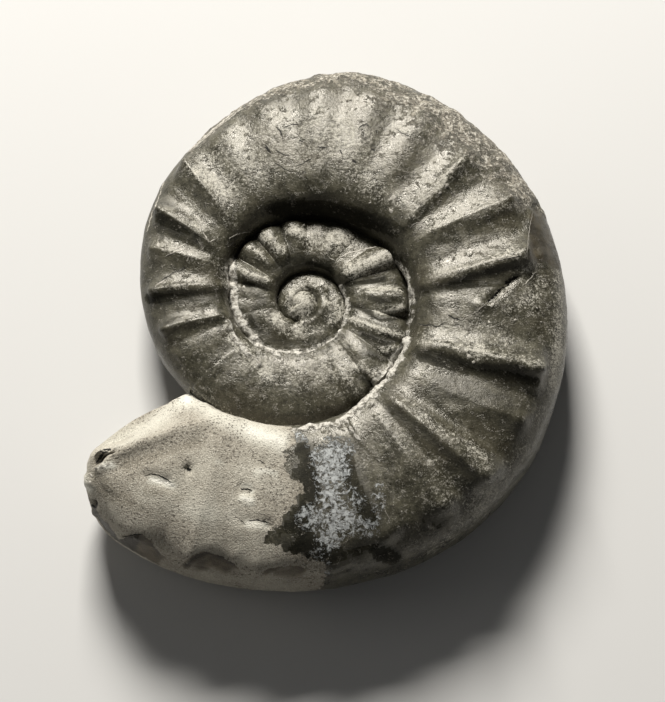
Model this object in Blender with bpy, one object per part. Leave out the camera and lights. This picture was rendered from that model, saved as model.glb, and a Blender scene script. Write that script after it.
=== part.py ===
"""Fossil ammonite lying on its side: one coiled, ribbed stone with a broken, stone-filled mouth.

The coil is made in its own frame, flat in XY with its axis on Z, and is then leaned and trimmed
so that it rests on worn flats on its lower face. Lengths are in metres and angles in degrees.
The growth angle is 0 where the last whorl starts and 360 at the mouth, and is negative inside.
"""

import math

import bmesh
import bpy
import numpy as np

# Driving dimensions
MM = 0.001
MOUTH_BEARING = -140.0  # direction of the mouth from the coil's centre, from +X towards +Y
BEARING_AT_START = 360.0 + MOUTH_BEARING

# Radius of the outer edge of the last whorl, from its start to the mouth
VENTER_STEP = 20.0
VENTER_RADII_MM = (
    17.1, 17.8, 18.7, 20.2, 22.2, 24.0, 26.7, 29.3, 29.8, 29.9,
    29.9, 30.7, 31.6, 33.0, 33.9, 34.2, 34.7, 35.5, 35.7,
)

# Radius of the umbilical seam, from one turn inside the last whorl's start to the mouth
SEAM_STEP = 40.0
SEAM_START = -360.0
SEAM_RADII_MM = (
    2.65, 3.0, 3.4, 3.85, 4.3, 4.8, 5.5, 6.1, 6.8, 7.8,
    8.7, 10.0, 10.25, 10.8, 12.1, 13.1, 14.7, 16.3, 16.9,
)
EXPANSION = 2.45  # growth of the innermost turns in one revolution
SEAM_SHARE = 0.975  # where a whorl's seam sits on the edge of the whorl inside it

HALF_BREADTH = 0.3 * MM  # half thickness of a whorl: this much
HALF_BREADTH_SHARE = 0.2  # and this share of its outer radius
FLANK_CREST = 0.28  # where a whorl is thickest, between its seam and its outer edge
EDGE_POWER = 2.6  # squareness of the outer part of the section
WALL_POWER = 2.7  # steepness of the umbilical wall
HEART_HEIGHT = 0.9 * MM  # of the domed heart, above the middle plane

# Ribs: growth angle at the outer tip, how far the inner end runs ahead, and relative height
LAST_WHORL_RIBS = (
    (12.0, 2.0, 0.5), (25.5, -1.0, 1.0), (42.0, 5.0, 1.0), (58.5, 1.0, 0.7), (72.0, -3.0, 1.2),
    (90.0, -4.0, 1.0), (105.0, 0.0, 0.3), (119.5, 2.0, 0.2), (134.0, 2.0, 0.25),
    (148.5, 3.0, 0.25), (163.5, 3.0, 0.3), (181.0, 3.0, 0.9), (196.0, 1.0, 0.85),
    (211.0, 6.0, 1.2), (223.0, 8.0, 0.15), (240.0, 7.0, 1.2), (252.5, 10.0, 0.4),
    (268.0, 7.0, 1.1), (279.0, 3.0, 0.5), (292.0, 5.0, 0.5), (305.0, 6.0, 0.4),
    (319.0, 5.0, 0.4), (332.0, 4.0, 0.4), (343.5, 3.0, 0.3),
)
INNER_WHORL_RIBS = (
    (-342.0, 0.0, 0.25), (-325.0, 0.0, 0.3), (-309.0, 0.0, 0.45), (-290.5, 0.0, 1.0),
    (-271.5, 0.0, 1.1), (-253.0, 0.0, 1.2), (-236.0, 0.0, 0.9), (-219.0, 0.0, 0.5),
    (-201.0, 0.0, 0.6), (-169.5, 0.0, 1.4), (-154.0, 0.0, 0.6), (-138.0, 0.0, 1.2),
    (-117.5, 0.0, 1.0), (-109.5, 0.0, 0.8), (-93.5, 0.0, 1.2), (-79.5, 0.0, 0.8),
    (-64.0, 0.0, 0.3), (-48.0, 0.0, 0.25), (-32.0, 0.0, 0.2), (-16.0, 0.0, 0.2),
)
RIB_HEIGHT_SHARE = 0.07  # of the whorl's height
INNER_RIB_HEIGHT_SHARE = 0.09
RIB_HALF_SPACING = 7.2
INNER_RIB_HALF_SPACING = 10.0
RIB_SHARPNESS = 1.5  # of the last whorl's ribs, and the inner ones are rounded
RIB_TIP = 0.82  # share of the whorl's height where the ribs end
RIB_START = -0.1
RIB_FULL = 0.75
RIB_END_LENGTH = 0.08
KNOB_RISE = 0.3  # the ribs end in low knobs
KNOB_WIDTH = 0.08
LATE_RIBS = (286.0, 304.0)  # beyond here the upper ribs run on over the shoulder
LATE_RIB_TIP = 0.14  # so much further
LATE_RIB_RISE = 0.6
LATE_RIB_BLUNTNESS = 0.72  # how much shorter their ends are

# The broken mouth: its outer corner is rounded off and its upper side is a slanted break
CORNER_START = 347.0
CORNER_CUT = 0.08
BREAK_LENGTH = 28.0  # growth angle that the slant takes up at the seam
BREAK_FADE = 0.35  # share of the whorl's height in which that shrinks to a third
BREAK_POWER = 1.2
BREAK_DEPTH = 0.85
BREAK_DEPTH_BELOW = 0.15
MOUTH_BULGE = 0.8 * MM
MOUTH_HORN = 1.6 * MM  # how far the break's outer corner stands ahead
MOUTH_HORN_START = 335.0
MOUTH_HORN_SHARE = 0.82
MOUTH_HORN_WIDTH = 0.14
MOUTH_SWELL = 0.25

# Rest
LEAN = 1.8  # the mouth end is the thicker, so the coil lies a little leaned
LEAN_BEARING = -60.0  # of the raised side
FLAT_DEPTH = 0.6 * MM  # how deep the resting flats are worn
COIL_CENTRE = (-2.82 * MM, 2.79 * MM)  # puts the middle of the whole fossil over the origin

# Mesh
STEPS_PER_TURN = 180
TURNS_INSIDE = 2.4
FLANK_ROWS = {0: 13, 1: 9, 2: 5, 3: 4}  # by whorls inside the last
WALL_ROWS_SHARE = 0.4
VENTER_ROWS = 10
MOUTH_ROWS = 6
TRIANGLES_KEPT = 0.36
CUTTER_SIZE = 120 * MM

STONE_COLOUR = (0.075, 0.068, 0.056, 1.0)


def through(values, step, start, at):
    """A smooth curve through evenly spaced values."""
    values = np.asarray(values, float)
    place = np.clip((np.asarray(at, float) - start) / step, 0.0, len(values) - 1.0)
    left = np.minimum(place.astype(int), len(values) - 2)
    part = place - left
    before = values[np.maximum(left - 1, 0)]
    here = values[left]
    after = values[left + 1]
    beyond = values[np.minimum(left + 2, len(values) - 1)]
    return here + 0.5 * part * (
        after - before
        + part * (2 * before - 5 * here + 4 * after - beyond)
        + part**2 * (3 * (here - after) + beyond - before)
    )


def smooth_step(low, high, at):
    part = np.clip((at - low) / (high - low), 0.0, 1.0)
    return part * part * (3.0 - 2.0 * part)


def seam_radius(growth):
    """Radius of the seam, from the table and, inside it, on a spiral of even growth."""
    growth = np.asarray(growth, float)
    table = through(SEAM_RADII_MM, SEAM_STEP, SEAM_START, growth) * MM
    spiral = EXPANSION ** (np.minimum(growth - SEAM_START, 0.0) / 360.0)
    return table * spiral


def venter_radius(growth):
    """Outer radius of the whorl. Inside the last whorl it lies just past the next seam."""
    growth = np.asarray(growth, float)
    outer = through(VENTER_RADII_MM, VENTER_STEP, 0.0, growth) * MM
    inner = seam_radius(growth + 360.0) / SEAM_SHARE
    corner = np.clip((growth - CORNER_START) / (360.0 - CORNER_START), 0.0, 1.0)
    return np.where(growth >= 0.0, outer * (1.0 - CORNER_CUT * corner**2), inner)


def half_breadth(growth):
    return HALF_BREADTH + HALF_BREADTH_SHARE * venter_radius(growth)


def crest_radius(growth):
    seam = seam_radius(growth)
    return seam + FLANK_CREST * (venter_radius(growth) - seam)


def outer_height(growth, radius):
    """Height of the whorl's outer half above the middle plane, at a radius."""
    crest = crest_radius(growth)
    share = np.clip((radius - crest) / (venter_radius(growth) - crest), 0.0, 1.0)
    return half_breadth(growth) * (1.0 - share**EDGE_POWER) ** (1.0 / EDGE_POWER)


def seam_height(growth):
    return outer_height(growth - 360.0, seam_radius(growth))


def rib_relief(growth, share, side):
    """Rib height at a share of the whorl's height, as a share of that height."""
    late = smooth_step(*LATE_RIBS, growth) if side > 0 else 0.0
    tip_share = RIB_TIP + LATE_RIB_TIP * late
    relief = np.zeros(np.shape(share))
    for tip, ahead, strength in LAST_WHORL_RIBS if growth >= 0.0 else INNER_WHORL_RIBS:
        half = RIB_HALF_SPACING if growth >= 0.0 else INNER_RIB_HALF_SPACING
        off = (growth - tip - ahead * (1.0 - share / RIB_TIP)) / half
        off = np.clip(np.abs(off), 0.0, 1.0)
        ridge = (1.0 - off) ** RIB_SHARPNESS if growth >= 0.0 else 1.0 - off**2
        relief = np.maximum(relief, strength * ridge)
    grown = smooth_step(RIB_START, RIB_FULL, share)
    end_length = RIB_END_LENGTH * (1.0 - LATE_RIB_BLUNTNESS * late)
    ended = 1.0 - smooth_step(tip_share, tip_share + end_length, share)
    knob = 1.0 + KNOB_RISE * np.exp(-(((share - tip_share) / KNOB_WIDTH) ** 2))
    swell = 1.0 + LATE_RIB_RISE * late * smooth_step(RIB_FULL, tip_share, share)
    height = RIB_HEIGHT_SHARE if growth >= 0.0 else INNER_RIB_HEIGHT_SHARE
    return height * relief * grown * ended * knob * swell


def horn_length(growth, share, side):
    """How much further round the coil the mouth's broken edge reaches, in metres."""
    near = np.clip((growth - MOUTH_HORN_START) / (360.0 - MOUTH_HORN_START), 0.0, 1.0)
    horn = np.exp(-(((share - MOUTH_HORN_SHARE) / MOUTH_HORN_WIDTH) ** 2))
    swell = MOUTH_SWELL * np.sin(np.pi * np.clip(share, 0.0, 1.0))
    inward = smooth_step(1.0, 0.92, share)
    return MOUTH_HORN * near**2 * (horn + swell) * inward * (side > 0)


def break_drop(growth, share, side):
    """What is left of the whorl's height on the slanted break at the mouth."""
    length = BREAK_LENGTH * np.exp(-np.asarray(share) / BREAK_FADE)
    down = np.clip((growth - 360.0 + length) / length, 0.0, 1.0)
    deep = BREAK_DEPTH if side > 0 else BREAK_DEPTH_BELOW
    return 1.0 - deep * down**BREAK_POWER


def whorl_points(growth, turns, side):
    """Points of one flank at a growth angle, from the seam to the outer edge's middle."""
    seam, seam_up = float(seam_radius(growth)), float(seam_height(growth))
    crest, edge = float(crest_radius(growth)), float(venter_radius(growth))
    high = float(half_breadth(growth))
    rows = FLANK_ROWS[turns]
    wall = round(WALL_ROWS_SHARE * rows)
    flank = rows - wall
    turn = np.linspace(0.5 * math.pi, 0.0, wall + 1)[:-1]
    part = np.sin(turn) ** (2.0 / WALL_POWER)
    radii = list(crest - (crest - seam) * part)
    heights = list(seam_up + (high - seam_up) * np.cos(turn) ** (2.0 / WALL_POWER))
    if turns:
        end = (seam_radius(growth + 360.0) - crest) / (edge - crest)
    else:
        end = (seam_radius(360.0) - crest_radius(0.0)) / (venter_radius(0.0) - crest_radius(0.0))
    end_turn = math.acos(float(end) ** (EDGE_POWER / 2.0))
    turns_of_rows = list(np.linspace(0.5 * math.pi, end_turn, flank + 1))
    if not turns:
        turns_of_rows += list(np.linspace(end_turn, 0.0, VENTER_ROWS // 2 + 1)[1:])
    turn = np.array(turns_of_rows)
    radii += list(crest + (edge - crest) * np.cos(turn) ** (2.0 / EDGE_POWER))
    heights += list(high * np.sin(turn) ** (2.0 / EDGE_POWER))
    radii, heights = np.array(radii), np.array(heights)

    along_r, along_z = np.gradient(radii), np.gradient(heights)
    length = np.hypot(along_r, along_z)
    share = (radii - seam) / (edge - seam)
    relief = rib_relief(growth, share, side) * (edge - seam)
    radii = radii - along_z / length * relief
    heights = (heights + along_r / length * relief) * break_drop(growth, share, side)
    radii[0], heights[0] = seam, seam_up * float(break_drop(growth, 0.0, side))
    bearings = math.radians(BEARING_AT_START - growth) - horn_length(growth, share, side) / radii
    return [
        (r * math.cos(bearing), r * math.sin(bearing), side * z)
        for r, bearing, z in zip(radii, bearings, heights)
    ]


def step_points(top, low):
    """Points down the edge of the inner whorl where the mouth meets it, between two seams."""
    crest, edge, high = (float(f(0.0)) for f in (crest_radius, venter_radius, half_breadth))
    bearing = math.radians(BEARING_AT_START)
    points = []
    for height in np.linspace(top, low, VENTER_ROWS + 1)[1:-1]:
        out = (1.0 - (abs(height) / high) ** EDGE_POWER) ** (1.0 / EDGE_POWER)
        radius = crest + (edge - crest) * out
        points.append((radius * math.cos(bearing), radius * math.sin(bearing), height))
    return points


def stitch(mesh, first, second):
    """Faces between two lines of vertices that run the same way and may share their ends."""
    i = j = 0
    while i < len(first) - 1 or j < len(second) - 1:
        ahead = (i + 1) / max(len(first) - 1, 1)
        behind = (j + 1) / max(len(second) - 1, 1)
        if j == len(second) - 1 or (i < len(first) - 1 and ahead <= behind):
            corners = (first[i], first[i + 1], second[j])
            i += 1
        else:
            corners = (first[i], second[j + 1], second[j])
            j += 1
        if len(set(corners)) == 3:
            mesh.faces.new(corners)


def coil_columns(mesh):
    """Every column of vertices. The outer end of an inner column is the next whorl's seam."""
    step = 360.0 / STEPS_PER_TURN
    inside = round(TURNS_INSIDE * STEPS_PER_TURN)
    growths = [step * k for k in range(-inside, STEPS_PER_TURN + 1)]
    points = []
    for growth in growths:
        turns = 0 if growth >= 0.0 else math.ceil(-growth / 360.0 - 1e-9)
        points.append((turns, whorl_points(growth, turns, 1), whorl_points(growth, turns, -1)))
    seams = [(mesh.verts.new(top[0]), mesh.verts.new(low[0])) for _, top, low in points]
    columns = []
    for k, (turns, top, low) in enumerate(points):
        rows = FLANK_ROWS[turns]
        upper = [mesh.verts.new(p) for p in top[1:rows]]
        lower = [mesh.verts.new(p) for p in low[1:rows]]
        if turns or k + STEPS_PER_TURN < len(points):
            upper_end, lower_end = seams[k + STEPS_PER_TURN]
        else:
            upper_end, lower_end = mesh.verts.new(top[rows]), mesh.verts.new(low[rows])
        flanks = ([seams[k][0], *upper, upper_end], [seams[k][1], *lower, lower_end])
        venter = []
        if not turns:
            middle = top[rows + 1 :] + low[rows + 1 : -1][::-1]
            if k + STEPS_PER_TURN < len(points):
                middle = step_points(upper_end.co.z, lower_end.co.z)
            venter = [upper_end, *(mesh.verts.new(p) for p in middle), lower_end]
        columns.append((turns, *flanks, venter))
    return columns


def whole_column(column):
    _, upper, lower, venter = column
    return upper + venter[1:-1] + list(reversed(lower))


def close_heart(mesh, columns, which):
    """Closes the middle of one side, inside the innermost turn."""
    ring = [columns[k][which][0] for k in range(STEPS_PER_TURN + 1)]
    rim = ring + list(reversed(columns[0][which][1:-1]))
    middle = mesh.verts.new(sum((v.co for v in rim), ring[0].co * 0.0) / len(rim))
    middle.co.z = math.copysign(HEART_HEIGHT, middle.co.z)
    for here, ahead in zip(rim, rim[1:] + rim[:1]):
        mesh.faces.new((here, ahead, middle) if which == 1 else (ahead, here, middle))


def close_mouth(mesh, columns):
    """The broken face between the end of the last whorl and the edge of the whorl inside it."""
    rim = whole_column(columns[-1])
    inner = columns[-1 - STEPS_PER_TURN][3]
    bearing = math.radians(MOUTH_BEARING)
    forward = (math.sin(bearing), -math.cos(bearing))
    lines = [rim]
    for row in range(1, MOUTH_ROWS):
        share = row / MOUTH_ROWS
        line = [rim[0]]
        for k in range(1, len(rim) - 1):
            along = k / (len(rim) - 1) * (len(inner) - 1)
            left = min(int(along), len(inner) - 2)
            low = inner[left].co.lerp(inner[left + 1].co, along - left)
            point = rim[k].co.lerp(low, share)
            swell = math.sin(math.pi * share) * math.sin(math.pi * k / (len(rim) - 1))
            point.x += forward[0] * MOUTH_BULGE * swell
            point.y += forward[1] * MOUTH_BULGE * swell
            line.append(mesh.verts.new(point))
        lines.append([*line, rim[-1]])
    lines.append(inner)
    for outer_line, inner_line in zip(lines, lines[1:]):
        stitch(mesh, outer_line, inner_line)


def coil_mesh():
    mesh = bmesh.new()
    columns = coil_columns(mesh)
    for here, ahead in zip(columns, columns[1:]):
        if here[0]:
            stitch(mesh, here[1], ahead[1])
            stitch(mesh, list(reversed(here[2])), list(reversed(ahead[2])))
        else:
            stitch(mesh, whole_column(here), whole_column(ahead))
    close_heart(mesh, columns, 1)
    close_heart(mesh, columns, 2)
    close_mouth(mesh, columns)
    bmesh.ops.recalc_face_normals(mesh, faces=mesh.faces)
    data = bpy.data.meshes.new("ammonite")
    mesh.to_mesh(data)
    mesh.free()
    return data


def lean_and_lift(data):
    """Leans the coil to its rest and lowers it until the floor plane cuts the worn flats."""
    points = np.empty(len(data.vertices) * 3, np.float32)
    data.vertices.foreach_get("co", points)
    points = points.reshape(-1, 3).astype(float)
    bearing, lean = math.radians(LEAN_BEARING), math.radians(LEAN)
    raised = np.array((math.cos(bearing), math.sin(bearing)))
    level = points[:, :2] @ raised
    height = points[:, 2] * math.cos(lean) + level * math.sin(lean)
    moved = level * math.cos(lean) - points[:, 2] * math.sin(lean)
    points[:, :2] += np.outer(moved - level, raised) + np.array(COIL_CENTRE)
    points[:, 2] = height - height.min() - FLAT_DEPTH
    data.vertices.foreach_set("co", points.astype(np.float32).ravel())
    data.update()


def stone_material():
    material = bpy.data.materials.new("fossil_stone")
    material.use_nodes = True
    shader = material.node_tree.nodes["Principled BSDF"]
    shader.inputs["Base Color"].default_value = STONE_COLOUR
    shader.inputs["Roughness"].default_value = 0.42
    shader.inputs["Metallic"].default_value = 0.0
    return material


def floor_cutter(collection):
    """A block whose top is the resting plane."""
    middle = (0.0, 0.0, -0.5 * CUTTER_SIZE)
    bpy.ops.mesh.primitive_cube_add(size=CUTTER_SIZE, location=middle)
    cutter = bpy.context.object
    cutter.name = "floor_cutter"
    cutter.hide_render = True
    cutter.display_type = "WIRE"
    for owner in list(cutter.users_collection):
        owner.objects.unlink(cutter)
    collection.objects.link(cutter)
    return cutter


def main():
    for obj in list(bpy.data.objects):
        bpy.data.objects.remove(obj)
    parts = bpy.data.collections.new("fossil_ammonite")
    cutters = bpy.data.collections.new("cutters")
    bpy.context.scene.collection.children.link(parts)
    bpy.context.scene.collection.children.link(cutters)

    data = coil_mesh()
    lean_and_lift(data)
    data.materials.append(stone_material())
    ammonite = bpy.data.objects.new("ammonite", data)
    parts.objects.link(ammonite)

    thin = ammonite.modifiers.new("thin", "DECIMATE")
    thin.ratio = TRIANGLES_KEPT
    thin.use_collapse_triangulate = True
    worn = ammonite.modifiers.new("worn_flats", "BOOLEAN")
    worn.operation = "DIFFERENCE"
    worn.object = floor_cutter(cutters)
    data.shade_smooth()


main()
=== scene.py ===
"""The looks of a fossil ammonite: fine relief, stone, shell, calcite and crust on the coil.

The coil's shape repeats the construction's own values. Places such as a chip or the edge of the
pale stone are given as pixels of the 665 x 702 picture and are carried to the surface through
the camera, whose place is fixed here. Lengths are metres, angles degrees.
"""

import math
import random

import bmesh
import bpy
import numpy as np
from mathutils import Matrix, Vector, noise
from mathutils.bvhtree import BVHTree


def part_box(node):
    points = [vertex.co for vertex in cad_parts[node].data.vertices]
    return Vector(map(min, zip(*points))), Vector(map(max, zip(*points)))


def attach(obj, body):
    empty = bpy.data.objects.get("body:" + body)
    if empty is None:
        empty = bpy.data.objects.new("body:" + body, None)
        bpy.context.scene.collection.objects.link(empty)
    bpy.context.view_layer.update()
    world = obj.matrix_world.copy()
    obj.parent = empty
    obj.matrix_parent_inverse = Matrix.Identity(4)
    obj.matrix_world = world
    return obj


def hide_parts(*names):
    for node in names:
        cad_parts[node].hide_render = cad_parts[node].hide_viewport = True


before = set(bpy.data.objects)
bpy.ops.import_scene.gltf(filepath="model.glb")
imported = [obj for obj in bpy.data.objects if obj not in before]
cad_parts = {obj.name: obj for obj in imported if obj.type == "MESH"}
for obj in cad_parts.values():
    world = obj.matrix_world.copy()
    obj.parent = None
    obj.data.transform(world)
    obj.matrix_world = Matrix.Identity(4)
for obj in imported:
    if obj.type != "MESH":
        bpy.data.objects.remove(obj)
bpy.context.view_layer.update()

# The coil, with the construction's values. A rib has its outer end's growth angle, how much
# further on its inner end lies, and its strength.
MM = 0.001
MOUTH_BEARING = -140.0
BEARING_AT_START = 360.0 + MOUTH_BEARING
VENTER_STEP = 20.0
VENTER_RADII_MM = (
    17.1, 17.8, 18.7, 20.2, 22.2, 24.0, 26.7, 29.3, 29.8, 29.9,
    30.3, 30.8, 31.6, 33.0, 33.9, 34.2, 34.7, 35.5, 35.7,
)
SEAM_STEP = 40.0
SEAM_START = -360.0
SEAM_RADII_MM = (
    2.65, 3.0, 3.4, 3.85, 4.3, 4.8, 5.5, 6.1, 6.8, 7.8,
    8.7, 10.0, 10.25, 10.8, 12.1, 13.1, 14.7, 16.3, 16.9,
)
EXPANSION = 2.45
SEAM_SHARE = 0.975
HALF_BREADTH = 0.3 * MM
HALF_BREADTH_SHARE = 0.2
FLANK_CREST = 0.28
EDGE_POWER = 2.6
WALL_POWER = 2.7
HEART_HEIGHT = 1.5 * MM
LAST_WHORL_RIBS = (
    (12, 2, 0.25), (25.5, -1, 1), (42, 5, 1), (58.5, 1, 0.7), (72, -3, 1.2), (90, -4, 1),
    (105, 0, 0.3), (119.5, 2, 0.2), (134, 2, 0.25), (148.5, 3, 0.25), (163.5, 3, 0.3),
    (179.5, 4, 0.6), (195.5, 1, 0.7), (211, 6, 1.05), (223, 8, 0.15), (240, 7, 1.2),
    (252.5, 10, 0.4), (268, 7, 1.1), (279, 3, 0.5), (292, 5, 0.5), (305, 6, 0.4), (319, 5, 0.4),
    (332, 4, 0.4), (343.5, 3, 0.3),
)
INNER_WHORL_RIBS = (
    (-342, 0, 0.25), (-325, 0, 0.2), (-312, 0, 0.15), (-294.5, 0, 0.9), (-275.5, 0, 1),
    (-254.5, 0, 1.2), (-236, 0, 0.9), (-219, 0, 0.5), (-201, 0, 0.6), (-169.5, 0, 1.4),
    (-154, 0, 0.1), (-138, 0, 1.2), (-117.5, 0, 1), (-109.5, 0, 0.8), (-93.5, 0, 1.2),
    (-79.5, 0, 0.8), (-64, 0, 0.3), (-48, 0, 0.25), (-32, 0, 0.2), (-16, 0, 0.2),
)
RIB_HEIGHT_SHARE = 0.07
INNER_RIB_HEIGHT_SHARE = 0.09
RIB_HALF_SPACING = 7.2
INNER_RIB_HALF_SPACING = 10.0
RIB_SHARPNESS = 1.5
FAINT_RIB = 0.34
RIB_TIPS = (  # growth angle and share of the whorl's height
    (0, 0.82), (75, 0.86), (92, 0.86), (125, 0.82), (177, 0.76), (195, 0.79), (210, 0.74),
    (237, 0.845), (265, 0.87), (286, 0.82),
)
RIB_START = -0.1
RIB_FULL = 0.75
RIB_END_LENGTH = 0.08
KNOB_RISE = 0.3
KNOB_WIDTH = 0.08
LATE_RIBS = (286.0, 304.0)
LATE_RIB_TIP = 0.14
LATE_RIB_RISE = 0.6
LATE_RIB_BLUNTNESS = 0.72
CORNER_START = 347.0
CORNER_CUT = 0.08
BREAK_LENGTH = 28.0
BREAK_FADE = 0.35
BREAK_POWER = 1.2
BREAK_DEPTH = 0.85
BREAK_DEPTH_BELOW = 0.15
MOUTH_BULGE = 0.8 * MM
MOUTH_HORN = 1.6 * MM
MOUTH_HORN_START = 335.0
MOUTH_HORN_SHARE = 0.82
MOUTH_HORN_WIDTH = 0.14
MOUTH_SWELL = 0.25
LEAN = 1.8
LEAN_BEARING = -60.0
FLAT_DEPTH = 0.6 * MM
COIL_CENTRE = (-2.82 * MM, 2.79 * MM)

# The fine mesh
STEPS_PER_TURN = 640
TURNS_INSIDE = 2.0
UPPER_ROWS = {0: 46, 1: 26, 2: 12}  # by whorls inside the last
LOWER_ROWS = {0: 20, 1: 8, 2: 4}
VENTER_ROWS = 22
MOUTH_ROWS = 14
HEART_ROWS = 8
PROFILE_POINTS = 160

# The camera
PHOTO_SIZE = (665, 702)
PIXELS_PER_METRE = 8600.0
CAMERA_DISTANCE = 0.6
CAMERA_ELEVATION = 71.6
CAMERA_TARGET = (0.61 * MM, -3.19 * MM, 8.0 * MM)
PIXEL = 1.0 / PIXELS_PER_METRE
STEEP = math.radians(CAMERA_ELEVATION)
CAMERA_AHEAD = np.array((0.0, math.cos(STEEP), -math.sin(STEEP)))
CAMERA_UPWARD = np.array((0.0, math.sin(STEEP), math.cos(STEEP)))
CAMERA_PLACE = np.array(CAMERA_TARGET) - CAMERA_DISTANCE * CAMERA_AHEAD

# Pale stone: its outline on the upper side, and where it starts elsewhere by growth angle
PALE_OUTLINE = (
    (168, 360), (200, 380), (240, 400), (270, 412), (290, 428), (294, 440), (302, 440), (293, 447),
    (284, 451), (288, 458), (287, 465), (281, 470), (286, 473), (296, 481), (304, 488), (303, 494),
    (297, 499), (300, 503), (292, 506), (288, 511), (283, 515), (280, 524), (272, 529), (266, 536),
    (264, 543), (272, 544), (280, 545), (284, 551), (290, 550), (297, 556), (304, 553), (310, 558),
    (316, 562), (322, 562), (327, 569), (325, 578), (321, 600), (60, 600), (60, 420), (130, 400),
)
PALE_GROWTH = 307.0
# Dark brown shell left on the shoulder below the pale stone, with painted shade in the hollows
# under the rib ends
SHELL_EDGE = (
    (88, 498), (94, 504), (99, 516), (110, 527), (119, 540), (133, 536), (142, 534), (151, 541),
    (158, 552), (168, 560), (178, 566), (183, 564), (190, 557), (202, 551), (212, 552), (222, 556),
    (232, 562), (240, 571), (252, 580), (260, 575), (268, 569), (282, 566), (298, 566), (308, 570),
    (318, 577), (325, 580),
)
# Each row of a path table holds the path's pixels, x and y in turn, and then its numbers.
# Painted shade on the shell in the hollows under the rib ends, darkest at the arches' upper edges:
# path, half width in pixels, strength
SHELL_SHADE = (
    (86, 504, 92, 512, 99, 521, 110, 531, 124, 541, 12, 1),
    (124, 541, 142, 538, 152, 545, 160, 554, 6, 0.8), (105, 532, 130, 550, 150, 563, 9, 0.7),
    (186, 566, 194, 558, 208, 552, 224, 557, 238, 566, 3.5, 1),
    (200, 566, 212, 563, 226, 568, 7, 0.5), (266, 572, 276, 564, 290, 563, 304, 569, 3.5, 0.6),
    (278, 572, 298, 574, 6, 0.35),
)
# White crystals: middle and half sizes in pixels, amount
WHITE_PATCHES = (
    (332, 468, 17, 26, 1), (318, 460, 10, 12, 0.55), (343, 448, 12, 10, 0.5),
    (331, 497, 14, 14, 0.8), (315, 517, 18, 12, 0.8), (341, 521, 20, 14, 0.9),
    (328, 538, 12, 14, 0.85), (360, 528, 20, 9, 0.6), (378, 500, 8, 20, 0.35),
    (352, 500, 14, 12, 0.45), (317, 557, 10, 7, 0.5), (324, 568, 7, 8, 0.6), (300, 437, 6, 4, 0.7),
    (305, 444, 5, 4, 0.5),
)
# Tan crust along the outer edge: growth angle, and share of the height that it covers
CRUST_REACH = (
    (86, 0.05), (110, 0.08), (130, 0.13), (146, 0.16), (152, 0.27), (168, 0.32), (185, 0.3),
    (196, 0.2), (204, 0.1),
)
# Smooth brown shell at the outer edge on the right
BROWN_PATCH = (
    (529, 216), (537, 206), (548, 222), (556, 240), (563, 262), (560, 272), (545, 262), (534, 264),
    (527, 258), (529, 238),
)

# Calcite in the seams: on the upper side, path and half width in pixels
VEINS = (
    (233, 262, 232, 272, 233, 286, 235, 300, 237, 312, 4.2),
    (237, 312, 240, 322, 248, 331, 255, 340, 263, 347, 4.4),
    (263, 347, 273, 351, 285, 353, 298, 353, 3.6), (298, 353, 310, 351, 322, 346, 333, 340, 3),
    (333, 340, 341, 332, 347, 320, 349, 309, 347, 297, 341, 286, 1.9),
    (398, 262, 404, 270, 410, 282, 412, 301, 411, 316, 408, 332, 2),
    (408, 332, 406, 344, 403, 352, 398, 364, 3.2), (397, 362, 390, 372, 382, 383, 374, 392, 5),
    (402, 345, 395, 357, 386, 369, 374, 382, 3), (376, 394, 364, 404, 354, 412, 345, 419, 3),
    (345, 419, 336, 424, 322, 426, 309, 427, 298, 431, 287, 434, 2.6),
    (345, 420, 350, 427, 353, 433, 1.8), (353, 433, 362, 442, 372, 452, 380, 461, 1),
    (228, 322, 234, 337, 246, 352, 259, 364, 2.4), (226, 268, 226, 285, 229, 300, 1.5),
)
# and below, growth angle and width in millimetres
LOWER_VEIN = ((-150, 0.2), (-30, 0.6), (60, 0.5), (120, 0.1), (220, 0.3), (316, 0.2))

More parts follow.
